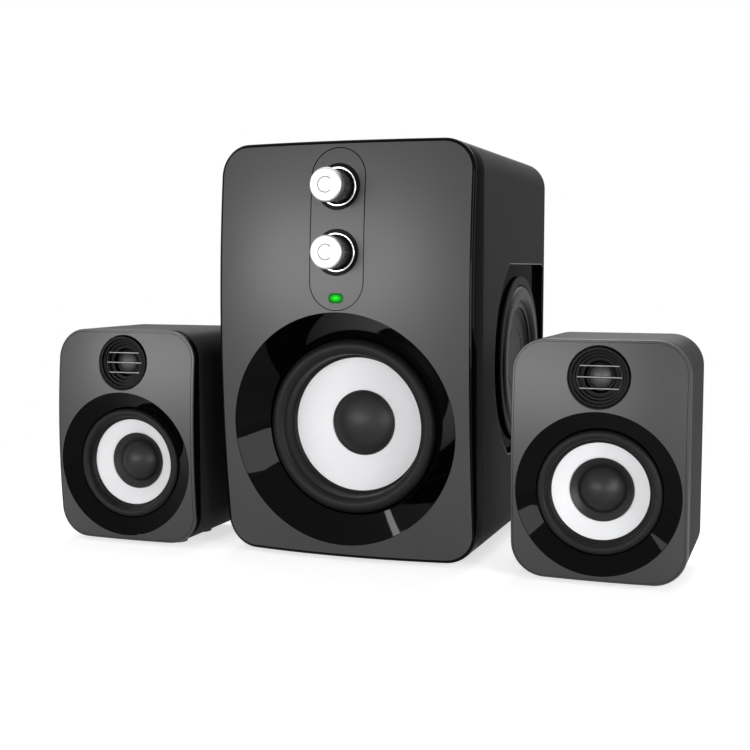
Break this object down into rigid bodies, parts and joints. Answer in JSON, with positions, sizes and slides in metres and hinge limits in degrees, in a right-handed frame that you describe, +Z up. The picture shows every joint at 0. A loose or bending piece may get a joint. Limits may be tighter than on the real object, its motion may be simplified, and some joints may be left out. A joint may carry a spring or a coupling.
{
  "type": "desktop speaker set",
  "caption": "Desktop speaker set: tall subwoofer with control knobs, power light and side passive radiator, and small satellites with a bowl-set driver and a guarded tweeter.",
  "frame": {"origin": "on the floor, under the middle of the whole set's box", "axes": "+X to the listener's right, +Y away from the listener, +Z up"},
  "size_m": [0.3362, 0.1816, 0.211],
  "materials": {
    "subwoofer_case": "satin dark grey",
    "satellite_case": "satin dark grey",
    "front_moulding": "satin face with mirror-gloss black bowl and edge",
    "rear_panel": "fine spark texture",
    "feet": "matte black",
    "screws": "black zinc",
    "basket": "black paint",
    "magnet": "dark ferrite with zinc plates",
    "yoke": "zinc plated",
    "surround": "matte black butyl",
    "spider": "resin-dipped cloth",
    "cone": "smooth near-white",
    "dust_cap": "smooth dark grey",
    "coil": "enamelled copper wire",
    "radiator_frame": "satin black",
    "radiator_plate": "satin black",
    "knob": "polished cap over a dark ribbed grip",
    "shaft": "plain turned",
    "well": "gloss black",
    "bright_ring": "polished",
    "potentiometer": "pressed steel can",
    "light": "clear green, lit",
    "board": "green solder mask",
    "socket": "black plastic with a metal collar",
    "heat_sink": "plain extruded",
    "tweeter_body": "gloss black",
    "tweeter_dome": "satin silver grey",
    "tweeter_guard": "satin black wire"
  },
  "bodies": {
    "subwoofer": {"subwoofer_case": "subwoofer_case", "subwoofer_front": "front_moulding", "subwoofer_rear_panel": "rear_panel", "subwoofer_rear_screws": "screws", "subwoofer_feet": "feet", "woofer_basket": "basket", "woofer_basket_screws": "screws", "woofer_magnet": "magnet", "woofer_yoke": "yoke", "woofer_surround": "surround", "woofer_spider": "spider", "side_radiator_frame": "radiator_frame", "side_radiator_surround": "surround", "knob_wells": "well", "knob_rings": "bright_ring", "potentiometers": "potentiometer", "power_light": "light", "control_board": "board", "amplifier_board": "board", "audio_sockets": "socket", "power_inlet": "socket", "heat_sink": "heat_sink"},
    "satellite_left": {"left_case": "satellite_case", "left_front": "front_moulding", "left_rear_panel": "rear_panel", "left_rear_screws": "screws", "left_feet": "feet", "left_basket": "basket", "left_magnet": "magnet", "left_surround": "surround", "left_tweeter_body": "tweeter_body", "left_tweeter_guard": "tweeter_guard", "left_socket": "socket"},
    "satellite_right": {"right_case": "satellite_case", "right_front": "front_moulding", "right_rear_panel": "rear_panel", "right_rear_screws": "screws", "right_feet": "feet", "right_basket": "basket", "right_magnet": "magnet", "right_surround": "surround", "right_tweeter_body": "tweeter_body", "right_tweeter_guard": "tweeter_guard", "right_socket": "socket"},
    "volume_control": {"volume_knob": "knob", "volume_shaft": "shaft"},
    "bass_control": {"bass_knob": "knob", "bass_shaft": "shaft"},
    "woofer_moving": {"woofer_cone": "cone", "woofer_dust_cap": "dust_cap", "woofer_voice_coil": "coil"},
    "radiator_moving": {"side_radiator_plate": "radiator_plate"},
    "left_driver_moving": {"left_cone": "cone", "left_dust_cap": "dust_cap", "left_voice_coil": "coil"},
    "left_tweeter_moving": {"left_tweeter_dome": "tweeter_dome"},
    "right_driver_moving": {"right_cone": "cone", "right_dust_cap": "dust_cap", "right_voice_coil": "coil"},
    "right_tweeter_moving": {"right_tweeter_dome": "tweeter_dome"}
  },
  "joints": [
    {"name": "left_satellite_slide", "type": "slide", "parent": "subwoofer", "child": "satellite_left", "axis": [-1, 0, 0], "range_m": [0, 0.25]},
    {"name": "right_satellite_slide", "type": "slide", "parent": "subwoofer", "child": "satellite_right", "axis": [1, 0, 0], "range_m": [0, 0.25]},
    {"name": "volume_turn", "type": "hinge", "parent": "subwoofer", "child": "volume_control", "pos_m": [-0.0018, -0.07725, 0.1883], "axis": [0, 1, 0], "range_deg": [-150, 150]},
    {"name": "bass_turn", "type": "hinge", "parent": "subwoofer", "child": "bass_control", "pos_m": [-0.0018, -0.07725, 0.1562], "axis": [0, 1, 0], "range_deg": [-150, 150]},
    {"name": "woofer_stroke", "type": "slide", "parent": "subwoofer", "child": "woofer_moving", "axis": [0, -1, 0], "range_m": [-0.003, 0.003], "stiffness_N_per_m": 1200, "deforming": ["woofer_surround", "woofer_spider"]},
    {"name": "radiator_stroke", "type": "slide", "parent": "subwoofer", "child": "radiator_moving", "axis": [1, 0, 0], "range_m": [-0.0036, 0.0036], "stiffness_N_per_m": 600, "deforming": ["side_radiator_surround"]},
    {"name": "left_driver_stroke", "type": "slide", "parent": "satellite_left", "child": "left_driver_moving", "axis": [0, -1, 0], "range_m": [-0.0015, 0.0015], "stiffness_N_per_m": 1500, "deforming": ["left_surround"]},
    {"name": "left_tweeter_stroke", "type": "slide", "parent": "satellite_left", "child": "left_tweeter_moving", "axis": [0, -1, 0], "range_m": [-0.0002, 0.0002], "stiffness_N_per_m": 2000},
    {"name": "right_driver_stroke", "type": "slide", "parent": "satellite_right", "child": "right_driver_moving", "axis": [0, -1, 0], "range_m": [-0.0015, 0.0015], "stiffness_N_per_m": 1500, "deforming": ["right_surround"]},
    {"name": "right_tweeter_stroke", "type": "slide", "parent": "satellite_right", "child": "right_tweeter_moving", "axis": [0, -1, 0], "range_m": [-0.0002, 0.0002], "stiffness_N_per_m": 2000}
  ],
  "couplings": [
    {"joint": "radiator_stroke", "follows": "woofer_stroke", "ratio": -1.2}
  ]
}
